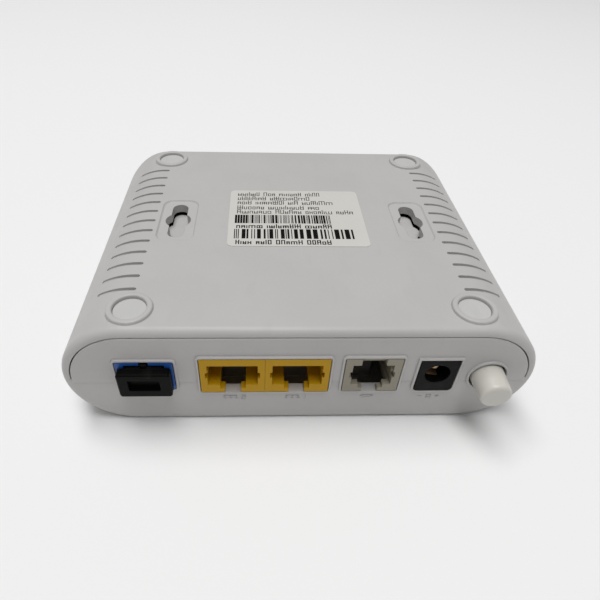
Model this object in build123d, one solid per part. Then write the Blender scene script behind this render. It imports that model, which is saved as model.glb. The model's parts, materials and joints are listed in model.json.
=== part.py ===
"""Optical network terminal: a small white box with a fibre port, two network sockets, a telephone
socket, a power inlet and a latching power button along one face.

Millimetres. The unit lies on its top cover, so +Z points out of its underside. The port face looks
towards -Y, and +X runs from the fibre port to the power button. The origin is the centre of the
case's outline, on the plane that the top cover lies on.
"""

import os
from math import sqrt

from build123d import *

# Case
case_width = 113.0
case_depth = 88.0
case_height = 32.0
wall = 2.0
panel_thickness = 2.0
corner_radius = 12.5
corner_overhang = 0.3  # how far the plan outline runs outside the round sides, so they cross cleanly
edge_radius = 1.2
rear_edge_radius = 1.7
seam_gap = 0.25
panel_proud = 0.15
panel_edge_radius = 0.3
seam_groove_depth = 0.35
seam_groove_height = 0.24
lip_gap = 0.15
lip_thickness = 1.0
lip_height = 1.4
lip_root = 1.6
stop_rib_width = 8.0
stop_rib_thickness = 1.2
stop_rib_height = 4.5
stop_rib_gap = 0.2
stop_rib_spacing = 40.0

# Feet and case screws
foot_inset_x = 17.0
foot_inset_y = 7.1
foot_ring_outer_radius = 5.15
foot_ring_base_radius = 5.55
foot_ring_height = 0.75
foot_ring_round = 0.45
foot_recess_radius = 3.85
foot_recess_depth = 1.55
foot_pad_gap = 0.05
foot_pad_thickness = 0.6
case_screw_radius = 1.45
case_screw_length = 12.0
case_screw_head_radius = 2.8
case_screw_head_height = 2.0
case_screw_head_depth = 4.4
screw_floor = 2.4
screw_hole_clearance = 0.2
thread_clearance = 0.03
boss_wall = 1.3
post_wall = 1.75

# Ventilation
vent_count = 13
vent_pitch = 4.92
vent_width = 1.0
vent_length = 9.4
vent_inset = 17.2
vent_y = -0.4
vent_depth = 0.8
vent_fade = 1.0  # how far the groove floor's round sides lie outside the case's own, so it runs out

# Wall-mounting keyholes
keyhole_spacing = 66.2
keyhole_y = 0.3
keyhole_radius = 3.5
keyhole_slot_width = 4.4
keyhole_slot_length = 16.6
keyhole_pad_width = 10.2
keyhole_pad_length = 20.3
keyhole_pad_depth = 0.4
keyhole_pad_radius = 2.8
keyhole_pad_slope = 0.35
keyhole_plate = 2.4
keyhole_plate_margin = 1.2
keyhole_head_gap = 1.05
keyhole_leg = 1.2
keyhole_floor = 1.4

# Label
label_x = 0.3
label_y = 1.95
label_width = 38.4
label_length = 29.1
label_thickness = 0.12
label_radius = 1.5

# Circuit board
board_thickness = 1.6
standoff_height = 4.9
standoff_radius = 3.0
board_side_gap = 1.14
board_rear_gap = 0.5
board_front_margin = 12.0
board_corner_radius = 3.0
board_screw_radius = 1.2
board_screw_head_radius = 2.3
board_screw_head_height = 1.6
board_screw_grip = 4.4
front_board_screw_x = 34.0
front_board_screw_inset = 6.0
left_board_screw_gap = 2.76
rear_board_screw_y = 27.0

# Port openings in the rear panel
port_clearance = 0.2
frame_width = 0.55
frame_height = 0.7
frame_round = 0.25
port_corner_radius = 0.3

# Fibre port
fibre_inset_x = 19.8
fibre_drop = 5.65
adapter_width = 13.1
adapter_height = 9.4
adapter_length = 17.0
adapter_cavity_width = 9.2
adapter_cavity_height = 7.6
adapter_cavity_depth = 12.0
keyway_width = 2.1
keyway_length = 6.0
sleeve_outer_radius = 1.6
sleeve_inner_radius = 1.27
sleeve_length = 10.0
sleeve_proud = 1.0
sleeve_clearance = 0.05
boss_radius = 2.3
boss_length = 5.0
stub_radius = 1.24
stub_length = 5.5
cradle_width = 8.0
cradle_thickness = 1.6
cradle_inset = 4.0
cap_width = 12.2
cap_height = 7.75
cap_plate_thickness = 2.2
cap_plate_drop = 0.65
cap_edge_chamfer = 0.3
cap_corner_radius = 0.7
cap_recess_width = 7.3
cap_recess_height = 3.6
cap_recess_rise = 0.25
cap_recess_corner = 0.3
cap_recess_depth = 1.2
cap_gap = 0.3
cap_plug_length = 7.5
cap_plug_corner = 0.4
cap_wall = 0.9
cap_key_length = 5.0
module_barrel_radius = 2.4
module_barrel_length = 4.5
module_width = 7.0
module_height = 7.0
module_length = 9.0
laser_can_radius = 2.7
laser_can_length = 3.4
receiver_can_radius = 2.3
receiver_can_length = 3.0
lead_width = 0.45
lead_pitch = 1.3
lead_run = 2.0

# Modular sockets
lan_jack_width = 15.2
lan_jack_gap = 0.04
lan_jack_height = 11.6
lan_jack_length = 16.0
lan_cavity_width = 11.8
lan_channel_width = 6.0
lan_lip_depth = 2.2
phone_jack_width = 13.4
phone_jack_height = 11.5
phone_cavity_width = 9.7
phone_channel_width = 8.6
phone_lip_depth = 1.6
jack_ceiling = 2.2
jack_cavity_height = 6.7
jack_cavity_depth = 12.5
latch_step_width = 6.0
latch_step_height = 1.35
latch_step_end = 1.5
latch_notch_width = 3.8
side_notch_depth = 0.5
side_notch_height = 1.9
side_notch_length = 1.6
phone_top_slot_width = 5.8
phone_top_slot_length = 1.6
lan_contact_count = 8
phone_contact_count = 4
contact_pitch = 1.02
contact_width = 0.4
contact_thickness = 0.3
contact_slot_width = 0.6
contact_bend_inset = 2.8
contact_free_inset = 8.6
contact_tail_inset = 14.0
contact_groove_drop = 1.3
contact_reach = 4.1
contact_bend_radius = 0.35
support_rib_thickness = 1.6
support_rib_inset = 12.5
support_rib_margin = 3.0

# Gaps between the ports, centre to centre, counted from the power button
button_inset_x = 12.0
dc_offset_x = 12.45
phone_offset_x = 15.65
lan_offset_x = 17.75

# Power inlet
dc_width = 9.3
dc_height = 10.7
dc_length = 14.4
dc_axis_drop = 5.35
dc_top_gap = 0.8
dc_corner_radius = 1.0
dc_bore_radius = 3.05
dc_bore_depth = 10.0
dc_pin_radius = 1.0
dc_pin_inset = 2.2
dc_pin_seat = 2.5
dc_spring_angle = 8.0
dc_spring_width = 2.7
dc_spring_thickness = 0.25
dc_spring_inset = 0.55
dc_spring_bow = 1.05
dc_spring_slot = 0.5

# Power switch and button
button_board_gap = 1.2
button_radius = 4.25
button_taper = 0.6
button_proud = 7.0
button_inside = 7.5
button_edge_radius = 0.9
button_hole_clearance = 0.22
button_flange_overlap = 0.78
button_flange_thickness = 1.0
button_flange_gap = 0.5
button_travel = 2.8
switch_width = 8.5
switch_height = 9.9
switch_length = 13.0
switch_gap = 4.5
plunger_size = 3.2
plunger_guide_clearance = 0.2
plunger_socket_clearance = 0.03
plunger_socket_depth = 5.0
plunger_engagement = 4.5
plunger_end_room = 0.6

# Indicator lights
led_count = 5
led_pitch = 8.0
led_board_inset = 3.0
led_length = 1.6
led_width = 0.8
led_height = 0.7
guide_pin_radius = 1.3
guide_window_clearance = 0.1
guide_led_gap = 0.4
guide_bar_height = 1.6
guide_bar_width = 3.6

# Processor cooling
processor_size = 17.0
processor_height = 1.2
pad_size = 15.0
pad_thickness = 0.5
sink_size = 25.0
sink_base = 1.5
sink_height = 8.0
sink_fins = 7
sink_fin_thickness = 1.2
processor_x = 0.0
processor_y = 5.0

# Derived places
rear_y = -case_depth / 2
port_y = rear_y - frame_height
front_y = case_depth / 2
mid_z = case_height / 2
ceiling_z = case_height - wall
board_top_z = ceiling_z - standoff_height
board_face_z = board_top_z - board_thickness
board_rear_y = rear_y + panel_thickness + board_rear_gap
board_front_y = front_y - board_front_margin
panel_inner_y = rear_y + panel_thickness
foot_x = case_width / 2 - foot_inset_x
foot_y = case_depth / 2 - foot_inset_y
foot_floor_z = case_height + foot_ring_height - foot_recess_depth
head_seat_z = case_height - case_screw_head_depth
post_top_z = head_seat_z - screw_floor
keyhole_face_z = case_height - keyhole_pad_depth
keyhole_plate_z = keyhole_face_z - keyhole_plate
keyhole_floor_z = keyhole_plate_z - keyhole_head_gap
fibre_x = -(case_width / 2 - fibre_inset_x)
fibre_z = board_face_z - fibre_drop
button_flange_radius = button_radius + button_hole_clearance + button_flange_overlap
button_x = case_width / 2 - button_inset_x
button_z = board_face_z - button_flange_radius - button_board_gap
dc_x = button_x - dc_offset_x
dc_z = board_face_z - dc_axis_drop
phone_x = dc_x - phone_offset_x
lan_jack_pitch = lan_jack_width + lan_jack_gap
lan_1_x = phone_x - lan_offset_x
lan_2_x = lan_1_x - lan_jack_pitch
led_y = board_front_y - led_board_inset
switch_front_y = rear_y + button_inside + switch_gap
plunger_front_y = rear_y + button_inside - plunger_engagement
board_screw_places = [
    (-front_board_screw_x, board_front_y - front_board_screw_inset),
    (front_board_screw_x, board_front_y - front_board_screw_inset),
    (lan_2_x - lan_jack_width / 2 - left_board_screw_gap, rear_y + rear_board_screw_y),
    ((phone_x + phone_jack_width / 2 + dc_x - dc_width / 2) / 2, rear_y + rear_board_screw_y),
]


def block(x0, x1, y0, y1, z0, z1):
    """A box between two corners."""
    centre = Pos((x0 + x1) / 2, (y0 + y1) / 2, (z0 + z1) / 2)
    return centre * Box(x1 - x0, y1 - y0, z1 - z0)


def along_y(outline, x, z, start, end):
    """A prism of an outline drawn as seen from the port face, from y = start to y = end."""
    return extrude(Plane.XZ.offset(-start) * Pos(x, z) * outline, amount=start - end)


def along_z(outline, x, y, low, high):
    """A prism of an outline drawn in plan, from z = low to z = high."""
    return extrude(Plane.XY.offset(low) * Pos(x, y) * outline, amount=high - low)


def bent_strip(points, x, width, thickness, radius):
    """A flat strip of metal bent in a Y-Z plane along the given points, centred on x."""
    line = FilletPolyline(*points, radius=radius)
    face = Plane.YZ.offset(x) * trace(line, line_width=thickness)
    return extrude(face, amount=width / 2, both=True)


def group(solids):
    """Separate solids kept in one node."""
    return Compound(children=[solid for piece in solids for solid in piece.solids()])


# ---------------------------------------------------------------- case


def stadium_bar(inset, start, end):
    """The round-sided section of the case, drawn inwards by inset."""
    outline = SlotOverall(case_width - 2 * inset, case_height - 2 * inset)
    return along_y(outline, 0, mid_z, start, end)


def inner_half_width(z):
    """How far the inside of the round sides reaches from the middle at a height."""
    radius = case_height / 2 - wall
    return case_width / 2 - wall - radius + sqrt(radius**2 - (z - mid_z) ** 2)


def case_form(inset, start, end):
    """The case's outer form drawn inwards by inset, with its two rounded front corners."""
    length = 3 * case_depth
    width = case_width + 2 * corner_overhang - 2 * inset
    outline = RectangleRounded(width, length, corner_radius + corner_overhang - inset)
    plan = along_z(outline, 0, end - length / 2, -case_height, 2 * case_height)
    return stadium_bar(inset, start, end) & plan


def rounded_case():
    """The closed outer form with its front and rear edges rounded."""
    form = case_form(0, rear_y, front_y)

    def at_rear(edge):
        return edge.bounding_box().max.Y < rear_y + 1e-4

    def at_front(edge):
        box = edge.bounding_box()
        upright = box.size.X < 1e-4 and box.size.Y < 1e-4
        return box.min.Y > front_y - corner_radius - 2 * corner_overhang - 2 and not upright

    form = fillet(form.edges().filter_by(at_front), edge_radius)
    return fillet(form.edges().filter_by(at_rear), rear_edge_radius)


def case_walls():
    """The hollow case, with the shallow groove that shows where its halves meet."""
    hollow = rounded_case() - case_form(wall, panel_inner_y, front_y - wall)
    slab = along_z(
        Rectangle(2 * case_width, 2 * case_depth),
        0,
        0,
        mid_z - seam_groove_height / 2,
        mid_z + seam_groove_height / 2,
    )
    core = case_form(seam_groove_depth, rear_y - 1, front_y - seam_groove_depth)
    return hollow - (slab - core)


def half_space(low, high):
    return along_z(Rectangle(2 * case_width, 2 * case_depth), 0, 0, low, high)


def foot_places(rear=True):
    rows = (-foot_y, foot_y) if rear else (foot_y,)
    return [(x, y) for y in rows for x in (-foot_x, foot_x)]


def keyhole_outline(grow=0.0):
    slot = Rot(0, 0, 90) * SlotOverall(
        keyhole_slot_length + 2 * grow, keyhole_slot_width + 2 * grow
    )
    return Circle(keyhole_radius + grow) + slot


def add_keyhole(shell, x):
    """A double keyhole in a shallow pad. Its plate is thickened, and an island of the keyhole's own
    outline hangs below it on two legs, so that a screw head goes in but nothing else can."""
    half_width = keyhole_pad_width / 2 + keyhole_plate_margin
    half_length = keyhole_pad_length / 2 + keyhole_plate_margin
    shell += block(
        x - half_width,
        x + half_width,
        keyhole_y - half_length,
        keyhole_y + half_length,
        keyhole_plate_z,
        ceiling_z + wall / 2,
    )
    outline = keyhole_outline()
    pad = RectangleRounded(keyhole_pad_width, keyhole_pad_length, keyhole_pad_radius)
    recess = along_z(pad, x, keyhole_y, keyhole_face_z, case_height + 1)
    shell -= chamfer(recess.edges().group_by(Axis.Z)[0], keyhole_pad_slope)
    shell -= along_z(outline, x, keyhole_y, keyhole_plate_z - 1, case_height + 1)
    island_low = keyhole_floor_z - keyhole_floor
    shell += along_z(outline, x, keyhole_y, island_low, keyhole_floor_z)
    half_leg = keyhole_slot_width / 2
    slot_end = keyhole_y - keyhole_slot_length / 2
    leg_top = keyhole_plate_z + keyhole_plate / 2
    for end, top in ((slot_end, leg_top), (slot_end + half_leg, keyhole_floor_z)):
        shell += block(x - half_leg, x + half_leg, slot_end - keyhole_leg, end, island_low, top)
    inward = -1 if x > 0 else 1
    near, root, far = (inward * (keyhole_radius + step) for step in (-keyhole_leg, 0, keyhole_leg))
    for start, top in ((near, keyhole_floor_z), (root, leg_top)):
        low_x, high_x = sorted((x + start, x + far))
        shell += block(low_x, high_x, keyhole_y - half_leg, keyhole_y + half_leg, island_low, top)
    return shell


def add_vents(shell):
    """Blind grooves across the round sides, deepest at their inner ends."""
    outline = SlotOverall(
        case_width + 2 * (vent_fade - vent_depth), case_height - 2 * vent_depth
    )
    skin = stadium_bar(-1, rear_y, front_y) - along_y(outline, 0, mid_z, rear_y - 1, front_y + 1)
    skin &= half_space(mid_z, case_height + 1)
    slots = []
    span = vent_pitch * (vent_count - 1)
    middle = case_width / 2 - vent_inset + vent_length / 2
    for side in (-1, 1):
        for index in range(vent_count):
            y = vent_y + index * vent_pitch - span / 2
            outline = SlotOverall(vent_length, vent_width)
            slots.append(along_z(outline, side * middle, y, mid_z, case_height + 1))
    return shell - group(slot & skin for slot in slots)


def make_underside_shell():
    shell = case_walls() & half_space(mid_z, case_height + 1)
    shell -= stadium_bar(wall, rear_y - 1, panel_inner_y + 0.1)
    for x, y in foot_places():
        cone_height = foot_ring_height + 1.0
        cone = Cone(foot_ring_base_radius, foot_ring_outer_radius, cone_height)
        recess = Cylinder(foot_recess_radius, cone_height)
        cone -= Pos(0, 0, cone_height - foot_recess_depth) * recess
        crest = cone.edges().group_by(Axis.Z)[-1]
        middle = Pos(x, y, case_height + foot_ring_height - cone_height / 2)
        shell += middle * fillet(crest, foot_ring_round)
    for x, y in foot_places(rear=False):
        radius = case_screw_head_radius + screw_hole_clearance + boss_wall
        shell += along_z(Circle(radius), x, y, post_top_z, ceiling_z + wall / 2)
    for x, y in foot_places():
        shell -= along_z(Circle(foot_recess_radius), x, y, foot_floor_z, case_height + 2)
    for x, y in foot_places(rear=False):
        head_hole = Circle(case_screw_head_radius + screw_hole_clearance)
        shank_hole = Circle(case_screw_radius + screw_hole_clearance)
        shell -= along_z(head_hole, x, y, head_seat_z, case_height)
        shell -= along_z(shank_hole, x, y, post_top_z - 1, head_seat_z + 1)
    for x in (-keyhole_spacing / 2, keyhole_spacing / 2):
        shell = add_keyhole(shell, x)
    for x, y in board_screw_places:
        shell += along_z(Circle(standoff_radius), x, y, board_top_z, ceiling_z + 0.5)
        pilot = Circle(board_screw_radius + thread_clearance)
        shell -= along_z(pilot, x, y, board_top_z, board_top_z + board_screw_grip)
    for side in (-1, 1):
        x = side * stop_rib_spacing / 2
        y = panel_inner_y + stop_rib_gap
        shell += block(
            x - stop_rib_width / 2,
            x + stop_rib_width / 2,
            y,
            y + stop_rib_thickness,
            ceiling_z - stop_rib_height,
            ceiling_z + 0.5,
        )
    return add_vents(shell)


def dc_outline(grow=0.0):
    """Square at the board side and round-cornered at the far side."""
    outline = Rectangle(dc_width + 2 * grow, dc_height + 2 * grow)
    corners = outline.vertices().sort_by(Axis.Y)[:2]
    return fillet(corners, dc_corner_radius + grow)


def port_openings():
    """Outline, x and z of each opening in the rear panel, by how much it is grown."""
    lan_middle = (lan_1_x + lan_2_x) / 2
    lan_span = lan_jack_pitch + lan_jack_width
    dc_low_z = board_face_z - dc_top_gap - dc_height
    return [
        (
            lambda g: RectangleRounded(
                adapter_width + 2 * g, adapter_height + 2 * g, port_corner_radius + g
            ),
            fibre_x,
            fibre_z,
        ),
        (
            lambda g: RectangleRounded(
                lan_span + 2 * g, lan_jack_height + 2 * g, port_corner_radius + g
            ),
            lan_middle,
            board_face_z - lan_jack_height / 2,
        ),
        (
            lambda g: RectangleRounded(
                phone_jack_width + 2 * g, phone_jack_height + 2 * g, port_corner_radius + g
            ),
            phone_x,
            board_face_z - phone_jack_height / 2,
        ),
        (dc_outline, dc_x, dc_low_z + dc_height / 2),
        (
            lambda g: Circle(button_radius + button_hole_clearance - port_clearance + g),
            button_x,
            button_z,
        ),
    ]


def make_top_cover():
    cover = case_walls() & half_space(-1, mid_z)
    panel = stadium_bar(wall + seam_gap, rear_y - panel_proud, panel_inner_y)
    panel = fillet(panel.faces().sort_by(Axis.Y)[0].edges(), panel_edge_radius)
    cover += panel & half_space(mid_z - 1, case_height)

    def ring(outer, inner, low, high):
        start = panel_inner_y + 0.5
        outside = case_form(outer, start, front_y - outer)
        inside = case_form(inner, start - 1, front_y - inner)
        return (outside - inside) & half_space(low, high)

    lip_outer = wall + lip_gap
    lip_inner = lip_outer + lip_thickness
    cover += ring(lip_outer, lip_inner, mid_z - 0.5, mid_z + lip_height)
    cover += ring(wall - 0.2, lip_inner, mid_z - lip_root, mid_z)
    for x, y in foot_places(rear=False):
        cover += along_z(Circle(case_screw_radius + post_wall), x, y, wall / 2, post_top_z)
        pilot = Circle(case_screw_radius + thread_clearance)
        low = head_seat_z - case_screw_length - 1
        cover -= along_z(pilot, x, y, low, post_top_z)
    for outline, x, z in port_openings():
        bead = along_y(outline(port_clearance + frame_width), x, z, port_y, rear_y + 0.2)
        cover += fillet(bead.faces().sort_by(Axis.Y)[0].edges(), frame_round)
        cover -= along_y(outline(port_clearance), x, z, rear_y - 2, panel_inner_y + 1)
    cradle_y = rear_y + cradle_inset
    cover += block(
        fibre_x - cradle_width / 2,
        fibre_x + cradle_width / 2,
        cradle_y,
        cradle_y + cradle_thickness,
        wall / 2,
        fibre_z - adapter_height / 2,
    )
    rib_y = rear_y + support_rib_inset
    for low_x, high_x, height in (
        (lan_2_x - lan_jack_width / 2, lan_1_x + lan_jack_width / 2, lan_jack_height),
        (phone_x - phone_jack_width / 2, phone_x + phone_jack_width / 2, phone_jack_height),
    ):
        cover += block(
            low_x + support_rib_margin,
            high_x - support_rib_margin,
            rib_y,
            rib_y + support_rib_thickness,
            wall / 2,
            board_face_z - height,
        )
    for x in led_places():
        cover -= along_z(Circle(guide_pin_radius + guide_window_clearance), x, led_y, -1, wall + 1)
    return cover


def make_foot_pads():
    pad = Circle(foot_recess_radius - foot_pad_gap)
    top = foot_floor_z + foot_pad_thickness
    return group(along_z(pad, x, y, foot_floor_z, top) for x, y in foot_places())


def screw(x, y, seat_z, length, shank_radius, head_radius, head_height, up):
    """A cross-head screw. Its head stands off the seat upwards when up is 1, downwards when -1."""
    shank = along_z(Circle(shank_radius), x, y, *sorted((seat_z, seat_z - up * length)))
    head = along_z(Circle(head_radius), x, y, *sorted((seat_z, seat_z + up * head_height)))
    top_edge = head.edges().sort_by(Axis.Z)[-1 if up > 0 else 0]
    head = fillet(top_edge, head_height * 0.35)
    slot_low = seat_z + up * head_height * 0.45
    slot_high = seat_z + up * (head_height + 0.1)
    arm = head_radius * 0.55
    for length_x, length_y in ((2 * arm, 0.6), (0.6, 2 * arm)):
        cross = Rectangle(length_x, length_y)
        head -= along_z(cross, x, y, *sorted((slot_low, slot_high)))
    return shank + head


def make_case_screws():
    return group(
        screw(
            x,
            y,
            head_seat_z,
            case_screw_length,
            case_screw_radius,
            case_screw_head_radius,
            case_screw_head_height,
            1,
        )
        for x, y in foot_places(rear=False)
    )


def make_label_sticker():
    outline = RectangleRounded(label_width, label_length, label_radius)
    return along_z(outline, label_x, label_y, case_height, case_height + label_thickness)


# ---------------------------------------------------------------- circuit board


def make_main_board():
    width = 2 * (inner_half_width(board_top_z) - board_side_gap)
    length = board_front_y - board_rear_y
    outline = RectangleRounded(width, length, board_corner_radius)
    board = along_z(outline, 0, (board_front_y + board_rear_y) / 2, board_face_z, board_top_z)
    for x, y in board_screw_places:
        hole = Circle(board_screw_radius + screw_hole_clearance)
        board -= along_z(hole, x, y, board_face_z - 1, board_top_z + 1)
    return board


def make_board_screws():
    return group(
        screw(
            x,
            y,
            board_face_z,
            board_thickness + board_screw_grip - 0.4,
            board_screw_radius,
            board_screw_head_radius,
            board_screw_head_height,
            -1,
        )
        for x, y in board_screw_places
    )


def on_board(x, y, width, length, height):
    """A flat-topped package soldered to the board's component face."""
    return block(
        x - width / 2,
        x + width / 2,
        y - length / 2,
        y + length / 2,
        board_face_z - height,
        board_face_z,
    )


def chip(x, y, width, length, height, legs=0):
    """A moulded chip with a pin-one dimple and, if legs are asked for, a row on each side."""
    body = on_board(x, y, width, length, height)
    body = chamfer(body.faces().sort_by(Axis.Z)[0].edges(), 0.15)
    dimple_x = x - width / 2 + 1.2
    dimple_y = y - length / 2 + 1.2
    low = board_face_z - height
    body -= along_z(Circle(0.45), dimple_x, dimple_y, low - 0.1, low + 0.15)
    pitch = 1.27
    for side in (-1, 1):
        for index in range(legs):
            leg_x = x + (index - (legs - 1) / 2) * pitch
            leg_y = y + side * (length / 2 + 0.35)
            body += on_board(leg_x, leg_y, 0.45, 0.9, 0.35)
    return body


def make_processor():
    return chip(processor_x, processor_y, processor_size, processor_size, processor_height)


def make_thermal_pad():
    top = board_face_z - processor_height
    outline = Rectangle(pad_size, pad_size)
    return along_z(outline, processor_x, processor_y, top - pad_thickness, top)


def make_heat_sink():
    top = board_face_z - processor_height - pad_thickness
    low = top - sink_height
    outline = Rectangle(sink_size, sink_size)
    sink = along_z(outline, processor_x, processor_y, top - sink_base, top)
    pitch = (sink_size - sink_fin_thickness) / (sink_fins - 1)
    for index in range(sink_fins):
        x = processor_x + (index - (sink_fins - 1) / 2) * pitch
        fin = Rectangle(sink_fin_thickness, sink_size)
        sink += along_z(fin, x, processor_y, low, top - sink_base / 2)
    return sink


def make_lan_transformers():
    length = 9.4
    y = port_y + lan_jack_length + 1.6 + length / 2
    return group(chip(x, y, 12.8, length, 5.6, legs=8) for x in (lan_2_x, lan_1_x))


def inductor(x, y, size, height):
    """A shielded square choke with its round winding showing."""
    body = on_board(x, y, size, size, height)
    body = chamfer(body.edges().filter_by(Axis.Z), size * 0.12)
    low = board_face_z - height
    ring = Circle(size * 0.40) - Circle(size * 0.30)
    return body - along_z(ring, x, y, low - 0.1, low + 0.3)


def capacitor(x, y, radius, height):
    """An upright electrolytic can with a grooved sleeve and a scored top."""
    low = board_face_z - height
    can = along_z(Circle(radius), x, y, low, board_face_z)
    can = fillet(can.edges().sort_by(Axis.Z)[0], 0.5)
    groove = Circle(radius + 0.1) - Circle(radius - 0.3)
    can -= along_z(groove, x, y, board_face_z - 2.0, board_face_z - 1.4)
    for size_x, size_y in ((2 * radius - 2, 0.25), (0.25, 2 * radius - 2)):
        can -= along_z(Rectangle(size_x, size_y), x, y, low - 0.1, low + 0.15)
    return can


def make_chip_passives():
    """Small resistors and ceramic capacitors, in rows beside the chips they serve."""
    rows = [
        (processor_x - 11.0, processor_y + 15.5, 8, 3.0, 0),
        (processor_x - 15.5, processor_y - 8.0, 7, 0, 2.8),
        (processor_x + 15.0, processor_y - 10.0, 4, 0, 2.6),
        (fibre_x + 9.0, rear_y + 30.0, 5, 0, 2.4),
        (phone_x - 6.0, rear_y + 32.0, 3, 2.8, 0),
    ]
    pieces = []
    for x, y, count, step_x, step_y in rows:
        for index in range(count):
            place = (x + index * step_x, y + index * step_y)
            size = (0.8, 1.6) if step_x else (1.6, 0.8)
            pieces.append(on_board(*place, *size, 0.8))
    return group(pieces)


# ---------------------------------------------------------------- fibre port


def make_sc_adapter():
    end_y = port_y + adapter_length
    cavity_end = port_y + adapter_cavity_depth
    outside = RectangleRounded(adapter_width, adapter_height, port_corner_radius)
    body = along_y(outside, fibre_x, fibre_z, port_y, end_y)
    cavity = Rectangle(adapter_cavity_width, adapter_cavity_height)
    body -= along_y(cavity, fibre_x, fibre_z, port_y - 1, cavity_end)
    keyway_low = fibre_z + adapter_cavity_height / 2 - 0.5
    body -= block(
        fibre_x - keyway_width / 2,
        fibre_x + keyway_width / 2,
        port_y - 1,
        port_y + keyway_length,
        keyway_low,
        fibre_z + adapter_height,
    )
    body += along_y(Circle(boss_radius), fibre_x, fibre_z, cavity_end - boss_length, cavity_end + 1)
    bore = Circle(sleeve_outer_radius + sleeve_clearance)
    body -= along_y(bore, fibre_x, fibre_z, port_y - 1, end_y + 1)
    return body


def make_ferrule_sleeve():
    start = port_y + adapter_cavity_depth - boss_length - sleeve_proud
    ring = Circle(sleeve_outer_radius) - Circle(sleeve_inner_radius)
    return along_y(ring, fibre_x, fibre_z, start, start + sleeve_length)


def make_fibre_stub():
    end_y = port_y + adapter_length
    stub = along_y(Circle(stub_radius), fibre_x, fibre_z, end_y - stub_length, end_y)
    return chamfer(stub.edges().sort_by(Axis.Y)[0], 0.25)


def make_dust_cap():
    plate_end = port_y - cap_gap
    plate_start = plate_end - cap_plate_thickness
    plate_z = fibre_z - cap_plate_drop
    plate = along_y(
        RectangleRounded(cap_width, cap_height, cap_corner_radius),
        fibre_x,
        plate_z,
        plate_start,
        plate_end,
    )
    plate = chamfer(plate.faces().sort_by(Axis.Y)[0].edges(), cap_edge_chamfer)
    recess = RectangleRounded(cap_recess_width, cap_recess_height, cap_recess_corner)
    recess_z = plate_z + cap_recess_rise
    plate -= along_y(recess, fibre_x, recess_z, plate_start - 1, plate_start + cap_recess_depth)
    plug_width = adapter_cavity_width - 2 * cap_gap
    plug_height = adapter_cavity_height - 2 * cap_gap
    plug_end = port_y + cap_plug_length
    plug = RectangleRounded(plug_width, plug_height, cap_plug_corner)
    cap = plate + along_y(plug, fibre_x, fibre_z, plate_end - 0.2, plug_end)
    hollow = Rectangle(plug_width - 2 * cap_wall, plug_height - 2 * cap_wall)
    cap -= along_y(hollow, fibre_x, fibre_z, plate_end + cap_wall, plug_end + 1)
    half_key = keyway_width / 2 - cap_gap
    cap += block(
        fibre_x - half_key,
        fibre_x + half_key,
        plate_end - 0.2,
        port_y + cap_key_length,
        fibre_z + plug_height / 2 - 0.4,
        fibre_z + adapter_height / 2 - 0.2,
    )
    return cap


def module_start_y():
    return port_y + adapter_length


def make_optical_module():
    start = module_start_y()
    block_start = start + module_barrel_length
    barrel = along_y(Circle(module_barrel_radius), fibre_x, fibre_z, start, block_start)
    housing = along_y(
        RectangleRounded(module_width, module_height, 1.0),
        fibre_x,
        fibre_z,
        block_start,
        block_start + module_length,
    )
    return barrel + housing


def make_laser_can():
    start = module_start_y() + module_barrel_length + module_length
    can = along_y(Circle(laser_can_radius), fibre_x, fibre_z, start, start + laser_can_length)
    flange = Circle(laser_can_radius + 0.4)
    can += along_y(flange, fibre_x, fibre_z, start + laser_can_length - 1.2, start + laser_can_length)
    return can


def make_receiver_can():
    x = fibre_x + module_width / 2
    y = module_start_y() + module_barrel_length + module_length / 2
    plane = Plane.YZ.offset(x)
    can = extrude(plane * Pos(y, fibre_z) * Circle(receiver_can_radius), amount=receiver_can_length)
    flange_plane = Plane.YZ.offset(x + receiver_can_length - 1.0)
    flange = flange_plane * Pos(y, fibre_z) * Circle(receiver_can_radius + 0.4)
    return can + extrude(flange, amount=1.0)


def make_module_leads():
    """The laser's four leads, bent over to pads on the board."""
    start = module_start_y() + module_barrel_length + module_length + laser_can_length
    leads = []
    for index in range(4):
        x = fibre_x + (index - 1.5) * lead_pitch
        run = lead_run + (index % 2) * 1.2
        points = [(start, fibre_z), (start + run, fibre_z), (start + run, board_face_z)]
        leads.append(bent_strip(points, x, lead_width, lead_width, 0.6))
    return group(leads)


# ---------------------------------------------------------------- modular sockets


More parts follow.
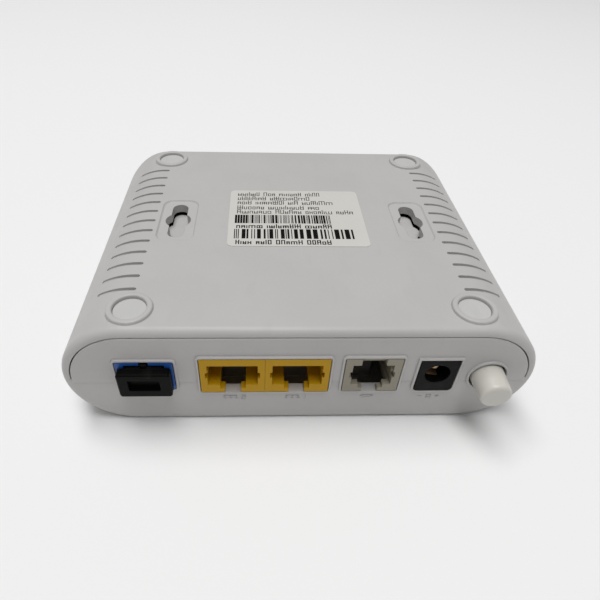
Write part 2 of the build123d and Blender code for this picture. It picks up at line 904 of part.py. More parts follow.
def modular_jack(x, width, height, cavity_width, channel_width, lip_depth, contacts):
    """A moulded socket hung from the board. Its latch side, away from the board, has a stepped and
    notched front lip, and behind the lip the latch channel is open through the moulding."""
    end_y = port_y + lan_jack_length
    low_z = board_face_z - height
    cavity_top = board_face_z - jack_ceiling
    cavity_low = cavity_top - jack_cavity_height
    step_low = cavity_low - latch_step_height
    cavity_end = port_y + jack_cavity_depth
    half = cavity_width / 2
    body = block(x - width / 2, x + width / 2, port_y, end_y, low_z, board_face_z)
    body -= block(x - half, x + half, port_y - 1, cavity_end, cavity_low, cavity_top)
    step = latch_step_width / 2
    channel_end = cavity_end - latch_step_end
    body -= block(x - step, x + step, port_y - 1, channel_end, step_low, cavity_low + 0.1)
    channel = channel_width / 2
    lip_end = port_y + lip_depth
    body -= block(x - channel, x + channel, lip_end, channel_end, low_z - 1, cavity_low + 0.1)
    notch = latch_notch_width / 2
    body -= block(x - notch, x + notch, port_y - 1, lip_end + 0.1, low_z - 1, step_low + 0.1)
    notch_z = (cavity_low + cavity_top) / 2
    for side in (-1, 1):
        near, far = sorted((x + side * (half - 0.1), x + side * (half + side_notch_depth)))
        body -= block(
            near,
            far,
            port_y - 1,
            port_y + side_notch_length,
            notch_z - side_notch_height / 2,
            notch_z + side_notch_height / 2,
        )
    slots = []
    for place in contact_places(x, contacts):
        slots.append(
            block(
                place - contact_slot_width / 2,
                place + contact_slot_width / 2,
                port_y + contact_bend_inset - 0.9,
                port_y + contact_tail_inset + 0.4,
                cavity_top - 0.1,
                board_face_z + 1,
            )
        )
    return body - slots


def contact_places(x, count):
    return [x + (index - (count - 1) / 2) * contact_pitch for index in range(count)]


def contact_set(x, count):
    """Spring wires that run forward over the cavity and fold back down into it."""
    groove_z = board_face_z - contact_groove_drop
    tail_y = port_y + contact_tail_inset
    points = [
        (tail_y, board_face_z),
        (tail_y, groove_z),
        (port_y + contact_bend_inset, groove_z),
        (port_y + contact_free_inset, board_face_z - contact_reach),
    ]
    radii = [contact_bend_radius * 0.5, contact_bend_radius]
    return group(
        bent_strip(points, place, contact_width, contact_thickness, radii)
        for place in contact_places(x, count)
    )


def make_lan_jack(x):
    return modular_jack(
        x,
        lan_jack_width,
        lan_jack_height,
        lan_cavity_width,
        lan_channel_width,
        lan_lip_depth,
        lan_contact_count,
    )


def make_phone_jack():
    body = modular_jack(
        phone_x,
        phone_jack_width,
        phone_jack_height,
        phone_cavity_width,
        phone_channel_width,
        phone_lip_depth,
        phone_contact_count,
    )
    half = phone_top_slot_width / 2
    low = board_face_z - jack_ceiling - 0.1
    return body - block(
        phone_x - half, phone_x + half, port_y - 1, port_y + phone_top_slot_length, low, board_face_z + 1
    )


# ---------------------------------------------------------------- power inlet


def dc_middle_z():
    return board_face_z - dc_top_gap - dc_height / 2


def dc_spring_points():
    low = dc_z - dc_bore_radius
    return [
        (port_y + dc_length - 1.0, low + dc_spring_inset),
        (port_y + dc_bore_depth - 2.5, low + dc_spring_inset),
        (port_y + dc_bore_depth - 5.5, low + dc_spring_bow),
        (port_y + 2.0, low + dc_spring_inset),
    ]


def turned_about_bore(piece):
    """Turns a piece drawn under the bore to the side where the spring contact sits."""
    return piece.rotate(Axis((dc_x, 0, dc_z), (0, 1, 0)), dc_spring_angle)


def make_dc_jack_body():
    end_y = port_y + dc_length
    body = along_y(dc_outline(), dc_x, dc_middle_z(), port_y, end_y)
    half = dc_width / 2
    body += block(
        dc_x - half, dc_x + half, port_y + 3.5, end_y, board_face_z - dc_top_gap - 1, board_face_z
    )
    body -= along_y(Circle(dc_bore_radius), dc_x, dc_z, port_y - 1, port_y + dc_bore_depth)
    pin_hole = Circle(dc_pin_radius + thread_clearance)
    pin_end = port_y + dc_bore_depth + dc_pin_seat
    body -= along_y(pin_hole, dc_x, dc_z, port_y - 1, pin_end)
    slot_z = dc_z - dc_bore_radius + dc_spring_inset
    half_slot = dc_spring_width / 2 + 0.1
    slot = block(
        dc_x - half_slot,
        dc_x + half_slot,
        port_y + dc_bore_depth - 1,
        port_y + dc_length - 0.8,
        slot_z - dc_spring_slot / 2,
        slot_z + dc_spring_slot / 2,
    )
    return body - turned_about_bore(slot)


def make_dc_centre_pin():
    start = port_y + dc_pin_inset
    pin = along_y(Circle(dc_pin_radius), dc_x, dc_z, start, port_y + dc_bore_depth + dc_pin_seat)
    return fillet(pin.edges().sort_by(Axis.Y)[0], 0.6)


def make_dc_spring_contact():
    strip = bent_strip(dc_spring_points(), dc_x, dc_spring_width, dc_spring_thickness, 1.0)
    return turned_about_bore(strip)


# ---------------------------------------------------------------- power switch and button


def make_switch_body():
    low_z = board_face_z - switch_height
    end_y = switch_front_y + switch_length
    half = switch_width / 2
    body = block(button_x - half, button_x + half, switch_front_y, end_y, low_z, board_face_z)
    body = chamfer(body.faces().sort_by(Axis.Z)[0].edges(), 0.4)
    hole = plunger_size + 2 * plunger_guide_clearance
    room = plunger_length() - (switch_front_y - plunger_front_y) + button_travel + plunger_end_room
    cavity = Rectangle(hole, hole)
    return body - along_y(
        cavity, button_x, button_z, switch_front_y - 1, switch_front_y + room
    )


def plunger_length():
    return plunger_engagement + switch_gap + 4.0


def make_switch_plunger():
    square = Rectangle(plunger_size, plunger_size)
    end = plunger_front_y + plunger_length()
    return along_y(square, button_x, button_z, plunger_front_y, end)


def make_button_cap():
    """Push cap gripping the plunger, with a flange that keeps it behind the panel."""
    tip_y = rear_y - button_proud
    root_y = rear_y + button_inside
    length = root_y - tip_y
    cone = Cone(button_radius, button_radius - button_taper, length)
    placed = Pos(button_x, (tip_y + root_y) / 2, button_z) * Rot(90, 0, 0) * cone
    cap = fillet(placed.edges().sort_by(Axis.Y)[0], button_edge_radius)
    flange_y = panel_inner_y + button_flange_gap
    flange = Circle(button_flange_radius)
    cap += along_y(flange, button_x, button_z, flange_y, flange_y + button_flange_thickness)
    size = plunger_size + 2 * plunger_socket_clearance
    socket = Rectangle(size, size)
    return cap - along_y(socket, button_x, button_z, root_y - plunger_socket_depth, root_y + 1)


# ---------------------------------------------------------------- indicator lights


def led_places():
    return [(index - (led_count - 1) / 2) * led_pitch for index in range(led_count)]


def make_status_leds():
    return group(on_board(x, led_y, led_length, led_width, led_height) for x in led_places())


def make_light_guide():
    top = board_face_z - led_height - guide_led_gap
    half = led_pitch * (led_count - 1) / 2 + guide_pin_radius + 1.0
    guide = block(
        -half,
        half,
        led_y - guide_bar_width / 2,
        led_y + guide_bar_width / 2,
        wall,
        wall + guide_bar_height,
    )
    for x in led_places():
        guide += along_z(Circle(guide_pin_radius), x, led_y, 0, top)
    return guide


# ---------------------------------------------------------------- nodes

nodes = {
    "underside_shell": make_underside_shell(),
    "top_cover": make_top_cover(),
    "foot_pads": make_foot_pads(),
    "case_screws": make_case_screws(),
    "label_sticker": make_label_sticker(),
    "main_board": make_main_board(),
    "board_screws": make_board_screws(),
    "sc_adapter": make_sc_adapter(),
    "ferrule_sleeve": make_ferrule_sleeve(),
    "fibre_stub": make_fibre_stub(),
    "dust_cap": make_dust_cap(),
    "optical_module": make_optical_module(),
    "laser_can": make_laser_can(),
    "receiver_can": make_receiver_can(),
    "module_leads": make_module_leads(),
    "laser_driver": chip(fibre_x + 15.0, rear_y + 34.0, 5.0, 5.0, 0.9),
    "lan_jack_1": make_lan_jack(lan_1_x),
    "lan_jack_2": make_lan_jack(lan_2_x),
    "lan_contacts_1": contact_set(lan_1_x, lan_contact_count),
    "lan_contacts_2": contact_set(lan_2_x, lan_contact_count),
    "lan_transformers": make_lan_transformers(),
    "phone_jack": make_phone_jack(),
    "phone_contacts": contact_set(phone_x, phone_contact_count),
    "phone_line_chip": chip(phone_x, rear_y + 24.0, 7.0, 7.0, 1.0),
    "dc_jack_body": make_dc_jack_body(),
    "dc_centre_pin": make_dc_centre_pin(),
    "dc_spring_contact": make_dc_spring_contact(),
    "power_regulators": group(
        chip(dc_x + offset, rear_y + 39.0, 5.0, 4.0, 1.5, legs=4) for offset in (-6.0, 4.0)
    ),
    "power_inductors": group(
        inductor(dc_x + offset, rear_y + 47.0, 6.0, 3.0) for offset in (-6.0, 4.0)
    ),
    "electrolytic_capacitors": group(
        [
            capacitor(dc_x + 1.5, rear_y + 24.0, 4.0, 9.5),
            capacitor(dc_x + 10.0, rear_y + 32.0, 3.15, 7.5),
        ]
    ),
    "switch_body": make_switch_body(),
    "switch_plunger": make_switch_plunger(),
    "button_cap": make_button_cap(),
    "main_processor": make_processor(),
    "thermal_pad": make_thermal_pad(),
    "heat_sink": make_heat_sink(),
    "memory_chip": chip(processor_x - 22.0, processor_y + 2.0, 8.0, 13.0, 1.1),
    "flash_chip": chip(processor_x + 21.0, processor_y + 8.0, 8.0, 6.0, 1.6, legs=4),
    "crystal": on_board(processor_x - 24.0, processor_y + 13.5, 3.2, 2.5, 0.8),
    "chip_passives": make_chip_passives(),
    "status_leds": make_status_leds(),
    "light_guide": make_light_guide(),
}

os.makedirs("parts", exist_ok=True)
for name, shape in nodes.items():
    export_step(shape, f"parts/{name}.step")
print(len(nodes), "nodes written")
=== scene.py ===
"""Looks of the optical network terminal: finishes, label print, port marks, floor, light and camera."""

import json
import math
import random

import bmesh
import bpy
from mathutils import Matrix, Vector


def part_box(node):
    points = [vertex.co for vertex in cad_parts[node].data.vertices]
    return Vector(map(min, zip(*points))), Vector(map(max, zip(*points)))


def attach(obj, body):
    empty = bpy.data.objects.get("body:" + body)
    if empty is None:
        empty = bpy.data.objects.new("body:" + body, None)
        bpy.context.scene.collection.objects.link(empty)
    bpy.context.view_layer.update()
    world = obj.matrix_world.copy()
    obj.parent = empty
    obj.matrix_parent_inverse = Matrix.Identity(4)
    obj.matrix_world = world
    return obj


MM = 0.001

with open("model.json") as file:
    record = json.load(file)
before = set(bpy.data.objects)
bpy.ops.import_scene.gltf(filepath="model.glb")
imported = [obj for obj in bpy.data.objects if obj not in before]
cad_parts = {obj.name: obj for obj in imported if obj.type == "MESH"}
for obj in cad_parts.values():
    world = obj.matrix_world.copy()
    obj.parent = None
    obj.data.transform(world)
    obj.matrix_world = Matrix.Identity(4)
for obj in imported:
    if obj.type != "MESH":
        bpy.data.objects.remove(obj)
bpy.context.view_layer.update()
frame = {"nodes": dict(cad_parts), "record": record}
nodes = frame["nodes"]

# ---------------------------------------------------------------- shader maths


class Wire:
    """A shader socket that can be added, subtracted and multiplied like a number."""

    def __init__(self, paint, socket):
        self.paint = paint
        self.socket = socket

    def _maths(self, operation, other, swap=False):
        pair = (other, self) if swap else (self, other)
        return self.paint.node("ShaderNodeMath", {"operation": operation}, {0: pair[0], 1: pair[1]})

    def __add__(self, other):
        return self._maths("ADD", other)

    def __radd__(self, other):
        return self._maths("ADD", other, True)

    def __sub__(self, other):
        return self._maths("SUBTRACT", other)

    def __rsub__(self, other):
        return self._maths("SUBTRACT", other, True)

    def __mul__(self, other):
        return self._maths("MULTIPLY", other)

    def __rmul__(self, other):
        return self._maths("MULTIPLY", other, True)

    def ramp(self, low, high):
        """0 below low, 1 above high, smooth between."""
        return self.paint.node(
            "ShaderNodeMapRange",
            {"interpolation_type": "SMOOTHSTEP"},
            {"Value": self, "From Min": low, "From Max": high},
            "Result",
        )


class Paint:
    """One procedural finish."""

    def __init__(self, name):
        self.material = bpy.data.materials.new(name)
        self.material.use_nodes = True
        self.tree = self.material.node_tree
        self.shader = self.tree.nodes["Principled BSDF"]

    def put(self, socket, value):
        """Links a wire to the socket, or sets it to a colour or a value."""
        if isinstance(value, Wire):
            self.tree.links.new(value.socket, socket)
        elif socket.type == "RGBA":
            socket.default_value = (*value, 1.0)
        else:
            socket.default_value = value

    def node(self, kind, settings, sockets, output=0):
        """A node of this kind: its settings first, then the values or links of its sockets."""
        made = self.tree.nodes.new(kind)
        for key, value in settings.items():
            setattr(made, key, value)
        for key, value in sockets.items():
            self.put(made.inputs[key], value)
        return Wire(self, made.outputs[output])

    def place(self):
        """The point on the piece, in metres, in the object's own frame."""
        return self.node("ShaderNodeTexCoord", {}, {}, "Object")

    def stretched(self, x, y, z):
        """The same point, squeezed or drawn out along each axis."""
        return self.node(
            "ShaderNodeVectorMath", {"operation": "MULTIPLY"}, {0: self.place(), 1: (x, y, z)}
        )

    def noise(self, per_metre, detail=3.0, roughness=0.55, vector=None):
        return self.node(
            "ShaderNodeTexNoise",
            {},
            {
                "Vector": vector or self.place(),
                "Scale": per_metre,
                "Detail": detail,
                "Roughness": roughness,
            },
            "Fac",
        )

    def cells(self, per_metre, randomness=1.0):
        """The distance to the middle of the nearest cell."""
        return self.node(
            "ShaderNodeTexVoronoi",
            {"feature": "F1"},
            {"Vector": self.place(), "Scale": per_metre, "Randomness": randomness},
            "Distance",
        )

    def bands(self, direction, per_metre):
        """Straight even bands that follow one another along X or Y."""
        return self.node(
            "ShaderNodeTexWave",
            {"wave_type": "BANDS", "bands_direction": direction},
            {"Vector": self.place(), "Scale": per_metre, "Distortion": 0.0},
            "Fac",
        )

    def mix(self, factor, first, second):
        return self.node(
            "ShaderNodeMix",
            {"data_type": "RGBA"},
            {0: factor, 6: first, 7: second},
            2,
        )

    def height(self, *parts, base=None):
        """Stacks bumps, each a height in 0..1 and a depth in mm, on the base normal if given."""
        normal = base
        for value, depth in parts:
            sockets = {"Height": value, "Distance": depth * MM, "Strength": 1.0}
            if normal is not None:
                sockets["Normal"] = normal
            normal = self.node("ShaderNodeBump", {}, sockets, "Normal")
        return normal

    def soft_edges(self, radius):
        """The normal as if each edge were rounded by this radius in mm."""
        return self.node("ShaderNodeBevel", {"samples": 6}, {"Radius": radius * MM}, "Normal")

    def edges(self, radius):
        """1 on convex and concave edges, 0 on open faces."""
        true_normal = self.node("ShaderNodeNewGeometry", {}, {}, "Normal")
        facing = self.node(
            "ShaderNodeVectorMath",
            {"operation": "DOT_PRODUCT"},
            {0: self.soft_edges(radius), 1: true_normal},
            "Value",
        )
        return (1.0 - facing).ramp(0.02, 0.3)

    def finish(self, **sockets):
        """Sets the shader's sockets by name, and hands over the material."""
        for key, value in sockets.items():
            self.put(self.shader.inputs[key.replace("_", " ")], value)
        return self.material


# ---------------------------------------------------------------- finishes


def shade(colour, factor, lift=0.0):
    """The colour scaled and lifted, at most white."""
    return tuple(min(1.0, channel * factor + lift) for channel in colour)


def moulded(name, colour, roughness, grain, edge, dirt, specular=0.45):
    """Moulded plastic: fine spark-eroded grain, faint cloudiness, scuffs, softened bright edges."""
    paint = Paint(name)
    cloud = paint.noise(55.0, 4.0)
    smear = paint.noise(240.0, 3.0, vector=paint.stretched(1.0, 0.35, 1.0))
    speck = paint.cells(1400.0).ramp(0.10, 0.05) * paint.noise(90.0, 2.0).ramp(0.58, 0.70)
    grain_height = paint.noise(5200.0, 2.0, 0.6)
    worn = paint.edges(edge)
    scratch_field = paint.noise(420.0, 1.0, vector=paint.stretched(0.12, 1.0, 1.0))
    scratch = scratch_field.ramp(0.735, 0.765)
    dull = shade(colour, 0.90)
    dusty = shade(colour, 0.80, 0.02)
    pale = shade(colour, 1.05, 0.02)
    tone = paint.mix(cloud.ramp(0.35, 0.68) * dirt, colour, dull)
    tone = paint.mix(smear.ramp(0.55, 0.80) * dirt * 0.6, tone, dusty)
    tone = paint.mix(speck * dirt, tone, dusty)
    tone = paint.mix(worn * 0.45, tone, pale)
    rough = roughness + (smear - 0.5) * 0.14 + (cloud - 0.5) * 0.10 - scratch * 0.08
    bump = paint.height((grain_height, grain), (scratch, -0.004), base=paint.soft_edges(edge))
    return paint.finish(
        Base_Color=tone, Roughness=rough, Normal=bump, Specular_IOR_Level=specular
    )


def metal(name, colour, roughness, along=(1.0, 1.0, 1.0), stain=0.3, edge=0.12):
    """Plated or machined metal with fine lines and a little tarnish."""
    paint = Paint(name)
    lines = paint.noise(2600.0, 3.0, vector=paint.stretched(*along))
    tarnish = paint.noise(320.0, 4.0)
    worn = paint.edges(edge)
    tone = paint.mix(tarnish.ramp(0.45, 0.75) * stain, colour, shade(colour, 0.55))
    tone = paint.mix(worn * 0.5, tone, shade(colour, 1.15))
    rough = roughness + (lines - 0.5) * 0.18 + tarnish.ramp(0.5, 0.8) * 0.15
    bump = paint.height((lines, 0.004), base=paint.soft_edges(edge))
    return paint.finish(Base_Color=tone, Roughness=rough, Metallic=1.0, Normal=bump)


def paper_film(name):
    """Off-white printed label film with a faint fibre and a thumbed gloss."""
    paint = Paint(name)
    fibre = paint.noise(3200.0, 3.0, vector=paint.stretched(0.4, 1.0, 1.0))
    cloud = paint.noise(70.0, 4.0)
    film, handled = (0.615, 0.600, 0.565), (0.575, 0.56, 0.52)
    tone = paint.mix(cloud.ramp(0.35, 0.7) * 0.5, film, handled)
    tone = paint.mix(fibre.ramp(0.5, 0.8) * 0.25, tone, (0.53, 0.515, 0.48))
    bump = paint.height((fibre, 0.006))
    return paint.finish(
        Base_Color=tone, Roughness=0.42 + (cloud - 0.5) * 0.2, Normal=bump, Specular_IOR_Level=0.4
    )


def ink(name):
    """Thermal print: nearly black, slightly broken where the ribbon skipped."""
    paint = Paint(name)
    skip = paint.noise(4200.0, 2.0).ramp(0.60, 0.74)
    tone = paint.mix(skip * 0.45, (0.003, 0.003, 0.003), (0.07, 0.07, 0.065))
    return paint.finish(
        Base_Color=tone,
        Roughness=0.5 + skip * 0.2,
        Specular_IOR_Level=0.08,
        Normal=paint.height((paint.noise(3800.0, 2.0), 0.003)),
    )


def solder_mask(name):
    """Green circuit board with buried copper runs and bare gold pads."""
    paint = Paint(name)
    tracks = paint.node(
        "ShaderNodeTexBrick",
        {"offset": 0.37, "squash": 0.6, "squash_frequency": 3},
        {
            "Vector": paint.place(),
            "Scale": 420.0,
            "Mortar Size": 0.035,
            "Brick Width": 1.9,
            "Row Height": 0.42,
        },
        "Fac",
    )
    pads = paint.cells(430.0, randomness=0.25).ramp(0.17, 0.15)
    regions = paint.noise(160.0, 2.0).ramp(0.48, 0.50)
    weave = paint.noise(1800.0, 2.0, vector=paint.stretched(1.0, 0.25, 1.0))
    tone = paint.mix(weave * 0.4, (0.010, 0.085, 0.030), (0.014, 0.11, 0.042))
    tone = paint.mix(tracks * regions * 0.8, tone, (0.030, 0.20, 0.075))
    tone = paint.mix(pads * (1.0 - regions), tone, (0.72, 0.55, 0.25))
    bump = paint.height((tracks * regions, 0.03), (pads, 0.02))
    return paint.finish(
        Base_Color=tone,
        Roughness=0.32 + weave * 0.12,
        Metallic=pads * (1.0 - regions) * 0.9,
        Normal=bump,
    )


def epoxy(name, colour=(0.020, 0.020, 0.022)):
    """Moulded chip body: charcoal, sandy, with a faint laser-etched block of rows."""
    paint = Paint(name)
    sand = paint.noise(4800.0, 2.0)
    rows = paint.bands("Y", 160.0).ramp(0.72, 0.80)
    etched = rows * paint.noise(900.0, 1.0, vector=paint.stretched(1.0, 0.05, 1.0)).ramp(0.5, 0.56)
    tone = paint.mix(sand * 0.5, colour, shade(colour, 1.9))
    tone = paint.mix(etched * 0.35, tone, (0.16, 0.16, 0.155))
    return paint.finish(
        Base_Color=tone,
        Roughness=0.55 + sand * 0.2,
        Normal=paint.height((sand, 0.01), (etched, -0.004)),
    )


def putty(name):
    """Soft grey-blue pad that carries heat, slightly lumpy."""
    paint = Paint(name)
    lumps = paint.noise(1500.0, 3.0)
    tone = paint.mix(lumps.ramp(0.4, 0.7), (0.22, 0.27, 0.34), (0.30, 0.35, 0.42))
    return paint.finish(
        Base_Color=tone, Roughness=0.75 + lumps * 0.15, Normal=paint.height((lumps, 0.05))
    )


def ceramic(name, colour, sparkle=0.2, roughness=0.22):
    """Fired ceramic, faintly clouded, with darker specks."""
    paint = Paint(name)
    fine = paint.noise(2600.0, 3.0)
    cloud = paint.noise(260.0, 3.0)
    tone = paint.mix(cloud.ramp(0.4, 0.7) * 0.6, colour, shade(colour, 0.82))
    tone = paint.mix(fine.ramp(0.62, 0.8) * sparkle, tone, shade(colour, 0.6))
    return paint.finish(
        Base_Color=tone, Roughness=roughness + fine * 0.12, Normal=paint.height((fine, 0.004))
    )


def sleeve_print(name):
    """Shrunk capacitor sleeve with its pale polarity stripe."""
    paint = Paint(name)
    stripe = paint.bands("X", 36.0).ramp(0.90, 0.94)
    fine = paint.noise(2400.0, 3.0)
    tone = paint.mix(stripe * 0.9, (0.018, 0.022, 0.035), (0.42, 0.43, 0.45))
    tone = paint.mix(fine.ramp(0.55, 0.8) * 0.3, tone, (0.06, 0.065, 0.08))
    return paint.finish(
        Base_Color=tone, Roughness=0.33 + fine * 0.1, Normal=paint.height((fine, 0.006))
    )


def clear_plastic(name, colour):
    """Moulded clear lens or light guide, with flow lines."""
    paint = Paint(name)
    flow = paint.noise(700.0, 3.0, vector=paint.stretched(1.0, 1.0, 0.15))
    tone = paint.mix(flow.ramp(0.4, 0.7) * 0.5, colour, shade(colour, 0.88))
    return paint.finish(
        Base_Color=tone,
        Roughness=0.16 + flow * 0.14,
        Normal=paint.height((flow, 0.01)),
        Transmission_Weight=0.55,
        IOR=1.49,
    )


finishes = {}


def add_finish(make, name, **values):
    finishes[name] = make(name, **values)


add_finish(
    moulded,
    "case_plastic",
    colour=(0.492, 0.482, 0.472),
    roughness=0.42,
    grain=0.010,
    edge=0.30,
    dirt=0.35,
    specular=0.30,
)
add_finish(
    moulded, "button_plastic", colour=(0.61, 0.59, 0.54), roughness=0.34, grain=0.005, edge=0.35, dirt=0.3
)
add_finish(
    moulded, "foot_plastic", colour=(0.53, 0.525, 0.52), roughness=0.50, grain=0.014, edge=0.25, dirt=0.5
)
add_finish(paper_film, "label_film")
add_finish(ink, "label_ink")
add_finish(metal, "screw_steel", colour=(0.60, 0.60, 0.62), roughness=0.30)
add_finish(solder_mask, "board_laminate")
add_finish(
    moulded, "adapter_blue", colour=(0.012, 0.085, 0.34), roughness=0.36, grain=0.006, edge=0.22, dirt=0.5
)
add_finish(ceramic, "ceramic_white", colour=(0.86, 0.86, 0.83))
add_finish(
    moulded,
    "cap_black",
    colour=(0.0025, 0.0025, 0.002),
    roughness=0.42,
    grain=0.012,
    edge=0.25,
    dirt=0.9,
    specular=0.06,
)
add_finish(metal, "module_steel", colour=(0.56, 0.56, 0.58), roughness=0.24, along=(1.0, 0.1, 1.0))
add_finish(
    metal,
    "contact_gold",
    colour=(0.90, 0.64, 0.24),
    roughness=0.18,
    along=(1.0, 0.15, 1.0),
    stain=0.25,
    edge=0.05,
)
add_finish(
    moulded,
    "socket_yellow",
    colour=(0.49, 0.275, 0.006),
    roughness=0.30,
    grain=0.006,
    edge=0.22,
    dirt=0.4,
    specular=0.14,
)
add_finish(
    moulded,
    "socket_grey",
    colour=(0.29, 0.265, 0.205),
    roughness=0.36,
    grain=0.006,
    edge=0.22,
    dirt=0.6,
    specular=0.3,
)
add_finish(
    moulded,
    "inlet_black",
    colour=(0.0035, 0.0033, 0.003),
    roughness=0.34,
    grain=0.008,
    edge=0.20,
    dirt=0.8,
    specular=0.08,
)
add_finish(
    metal,
    "contact_brass",
    colour=(0.62, 0.45, 0.27),
    roughness=0.46,
    along=(1.0, 0.15, 1.0),
    stain=0.35,
    edge=0.06,
)
add_finish(epoxy, "chip_black")
add_finish(
    metal,
    "sink_aluminium",
    colour=(0.68, 0.69, 0.71),
    roughness=0.34,
    along=(1.0, 0.06, 1.0),
    stain=0.15,
)
add_finish(putty, "pad_grey")
add_finish(sleeve_print, "capacitor_sleeve")
add_finish(epoxy, "choke_ferrite", colour=(0.055, 0.055, 0.058))
add_finish(ceramic, "passive_ceramic", colour=(0.34, 0.25, 0.17), sparkle=0.5, roughness=0.4)
add_finish(clear_plastic, "led_lens", colour=(0.80, 0.86, 0.62))
add_finish(clear_plastic, "guide_clear", colour=(0.86, 0.88, 0.88))
add_finish(
    moulded, "switch_black", colour=(0.014, 0.014, 0.015), roughness=0.42, grain=0.01, edge=0.2, dirt=0.8
)

for entry in frame["record"]["subparts"]:
    mesh = nodes[entry["node"]].data
    mesh.materials.clear()
    mesh.materials.append(finishes[entry["material_slot"]])


# ---------------------------------------------------------------- added pieces


def new_piece(name, build, material, body="case"):
    """A mesh built in the frame's own place, riding on a CAD body."""
    mesh = bpy.data.meshes.new(name)
    shape = bmesh.new()
    build(shape)
    bmesh.ops.recalc_face_normals(shape, faces=shape.faces)
    shape.to_mesh(mesh)
    shape.free()
    mesh.materials.append(finishes[material])
    piece = bpy.data.objects.new(name, mesh)
    bpy.context.scene.collection.objects.link(piece)
    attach(piece, body)


def slab(shape, low_x, high_x, low_y, high_y, low_z, high_z):
    """A thin closed box between two corners."""
    size = (high_x - low_x, high_y - low_y, high_z - low_z)
    centre = Vector(((low_x + high_x) / 2, (low_y + high_y) / 2, (low_z + high_z) / 2))
    matrix = Matrix.Translation(centre) @ Matrix.Diagonal((*size, 1.0))
    bmesh.ops.create_cube(shape, size=1.0, matrix=matrix)


label_low, label_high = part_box("label_sticker")
panel_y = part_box("underside_shell")[0].y

print_sink = 0.01 * MM
print_rise = 0.015 * MM
text_margin = 0.058
bar_margin = 0.045
small_letter, small_stem = 2.1 * MM, 0.21 * MM
bold_letter, bold_stem = 2.0 * MM, 0.31 * MM
fine_bar, bold_bar = 0.15 * MM, 0.26 * MM


class Printer:
    """Lays print on the label, in shares of its width and length from its near left corner."""

    def __init__(self, shape, seed):
        self.shape = shape
        self.dice = random.Random(seed)
        self.size = label_high - label_low
        self.low = label_high.z - print_sink
        self.high = label_high.z + print_rise

    def stroke(self, low_x, high_x, low_y, high_y):
        """One printed rectangle."""
        slab(self.shape, low_x, high_x, low_y, high_y, self.low, self.high)

    def words(self, place, share, letter, weight):
        """One row of greeked words: stems with short ties at head or foot."""
        x = label_low.x + text_margin * self.size.x
        end = x + share * self.size.x
        foot = label_low.y + place * self.size.y - letter / 2
        while x < end:
            for _ in range(self.dice.randint(3, 9)):
                stems = self.dice.choice((1, 2, 2, 2, 2, 3))
                step = letter * self.dice.uniform(0.30, 0.42)
                head = foot + letter * self.dice.choice((0.70, 0.70, 1.0))
                for stem in range(stems):
                    left = x + stem * step
                    self.stroke(left, left + weight, foot, head)
                if stems > 1:
                    levels = (foot, head - weight, (foot + head - weight) / 2)
                    for level in self.dice.sample(levels, self.dice.choice((1, 2, 2))):
                        self.stroke(x, x + (stems - 1) * step + weight, level, level + weight)
                x += (stems - 1) * step + weight + letter * 0.15
                if x > end:
                    return
            x += letter * 0.45

    def bars(self, low, high, share, module, widths, gaps):
        """One block of upright bars of mixed width."""
        x = label_low.x + bar_margin * self.size.x
        end = x + share * self.size.x
        low_y = label_low.y + low * self.size.y
        high_y = label_low.y + high * self.size.y
        while x < end:
            thick = module * self.dice.choice(widths)
            self.stroke(x, min(x + thick, end), low_y, high_y)
            x += thick + module * self.dice.choice(gaps)


def label_print(shape):
    """Five small rows, a fine bar block, a bold row, a bold bar block and a bold row."""
    printer = Printer(shape, 11)
    small_rows = [(0.925, 0.66), (0.840, 0.56), (0.757, 0.72), (0.663, 0.60), (0.583, 0.86)]
    for place, share in small_rows:
        printer.words(place, share, small_letter, small_stem)
    printer.bars(0.375, 0.523, 0.705, fine_bar, (1, 1, 2, 3, 4), (1, 1, 2, 3))
    printer.words(0.325, 0.68, bold_letter, bold_stem)
    printer.bars(0.118, 0.275, 0.855, bold_bar, (1, 1, 2, 4, 5), (1, 2, 2, 3))
    printer.words(0.062, 0.68, bold_letter, bold_stem)


new_piece("label_print", label_print, "label_ink")


def port_marks(shape):
    """Low relief under the ports: network signs with the figures 1 and 2, a handset and a polarity sign."""
    proud = panel_y - 0.06 * MM
    buried = panel_y + 0.05 * MM
    line = 0.26 * MM
    row_drop = 3.0 * MM
    branch_pitch = 1.5 * MM
    trunk = 3.0 * MM
    polarity_reach, polarity_arm = 2.2 * MM, 1.1 * MM

    def stroke(x, z, width, height):
        slab(shape, x - width / 2, x + width / 2, proud, buried, z - height / 2, z + height / 2)

    def middle(node):
        low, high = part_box(node)
        return (low.x + high.x) / 2

    row_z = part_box("lan_jack_1")[0].z - row_drop
    tall, wide = 1.5 * MM, 0.9 * MM
    for node in ("lan_jack_1", "lan_jack_2"):
        x = middle(node) - 0.8 * MM
        for step in (-branch_pitch, 0.0, branch_pitch):
            stroke(x + step, row_z - 0.35 * MM, wide, line)
            stroke(x + step, row_z + 0.15 * MM, line, wide)
        stroke(x, row_z + 0.6 * MM, trunk + line, line)
        figure = x + 3.2 * MM
        if node == "lan_jack_1":
            stroke(figure, row_z, line, tall)
        else:
            for level in (-1, 0, 1):
                stroke(figure, row_z + level * tall / 2, wide, line)
            stroke(figure + wide / 2, row_z + tall / 4, line, tall / 2)
            stroke(figure - wide / 2, row_z - tall / 4, line, tall / 2)
    x = middle("phone_jack")
    stroke(x, row_z + 0.5 * MM, trunk, 0.4 * MM)
    for side in (-1, 1):
        stroke(x + side * 1.3 * MM, row_z + 0.1 * MM, 0.7 * MM, 0.6 * MM)
    stroke(x, row_z - 0.45 * MM, 1.5 * MM, 0.8 * MM)
    x = middle("dc_jack_body")
    stroke(x - polarity_reach, row_z, polarity_arm, line)
    stroke(x + polarity_reach, row_z, polarity_arm, line)
    stroke(x + polarity_reach, row_z, line, polarity_arm)
    for side in (-1, 1):
        stroke(x, row_z + side * 0.5 * MM, polarity_arm, line)
        stroke(x + side * 0.5 * MM, row_z, line, polarity_arm)


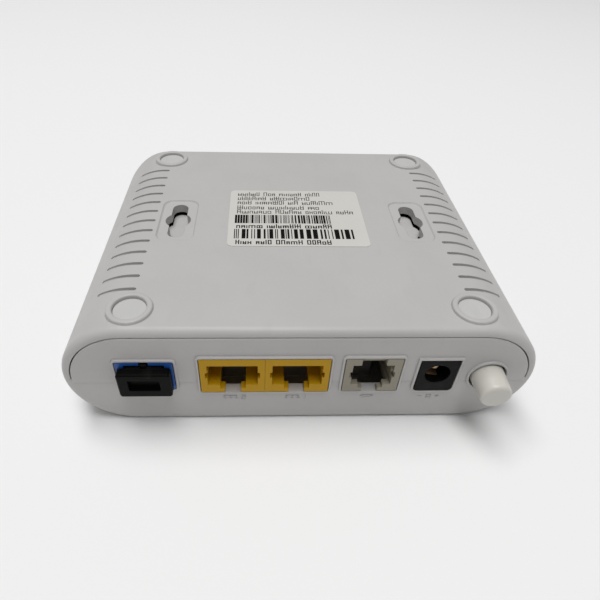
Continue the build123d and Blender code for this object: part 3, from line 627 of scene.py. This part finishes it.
new_piece("port_marks", port_marks, "case_plastic")


# ---------------------------------------------------------------- floor, light and camera


floor_reach = 6.0
sky_strength = 0.24


def floor():
    """A plain pale floor that runs far past the unit on every side."""
    shape = bmesh.new()
    bmesh.ops.create_grid(shape, x_segments=1, y_segments=1, size=floor_reach)
    mesh = bpy.data.meshes.new("floor")
    shape.to_mesh(mesh)
    shape.free()
    paint = Paint("floor_paper")
    tooth = paint.noise(900.0, 2.0)
    tone = paint.mix(tooth * 0.3, (0.87, 0.87, 0.87), (0.85, 0.85, 0.85))
    mesh.materials.append(paint.finish(Base_Color=tone, Roughness=0.9, Specular_IOR_Level=0.1))
    piece = bpy.data.objects.new("floor", mesh)
    bpy.context.scene.collection.objects.link(piece)


def soft_light(name, place, size, power):
    """A white rectangular lamp, in metres and watts, that looks at the origin."""
    lamp = bpy.data.lights.new(name, "AREA")
    lamp.shape = "RECTANGLE"
    lamp.size, lamp.size_y = size
    lamp.energy = power
    piece = bpy.data.objects.new(name, lamp)
    piece.location = place
    piece.rotation_mode = "QUATERNION"
    piece.rotation_quaternion = (-Vector(place)).to_track_quat("-Z", "Y")
    bpy.context.scene.collection.objects.link(piece)


def camera():
    """A short lens held above and in front of the port face."""
    pitch, yaw, roll = 0.72914, 0.05677, 0.03872
    place = Vector((-10.616 * MM, panel_y - 75.404 * MM, 108.6 * MM))
    forward = Vector(
        (math.sin(yaw) * math.cos(pitch), math.cos(yaw) * math.cos(pitch), -math.sin(pitch))
    )
    right = Vector((math.cos(yaw), -math.sin(yaw), 0.0))
    up = right.cross(forward)
    turned_right = math.cos(roll) * right + math.sin(roll) * up
    turned_up = -math.sin(roll) * right + math.cos(roll) * up
    lens = bpy.data.cameras.new("camera")
    lens.sensor_width = 36.0
    lens.lens = 29.69
    lens.shift_x = 0.0349
    lens.clip_start = 0.005
    piece = bpy.data.objects.new("camera", lens)
    matrix = Matrix((turned_right, turned_up, -forward)).transposed().to_4x4()
    piece.matrix_world = Matrix.Translation(place) @ matrix
    bpy.context.scene.collection.objects.link(piece)
    bpy.context.scene.camera = piece


def sky():
    """An even white surround, weak enough to leave the lamps in charge."""
    world = bpy.data.worlds.new("studio")
    world.use_nodes = True
    background = world.node_tree.nodes["Background"]
    background.inputs["Color"].default_value = (1.0, 1.0, 1.0, 1.0)
    background.inputs["Strength"].default_value = sky_strength
    bpy.context.scene.world = world


sky()
bpy.context.scene.view_settings.view_transform = "Standard"
floor()
soft_light("overhead", place=(-0.10, -0.05, 1.70), size=(1.7, 0.55), power=25.5)
soft_light("left_fill", place=(-0.80, 0.10, 0.40), size=(0.5, 0.4), power=0.1)
camera()
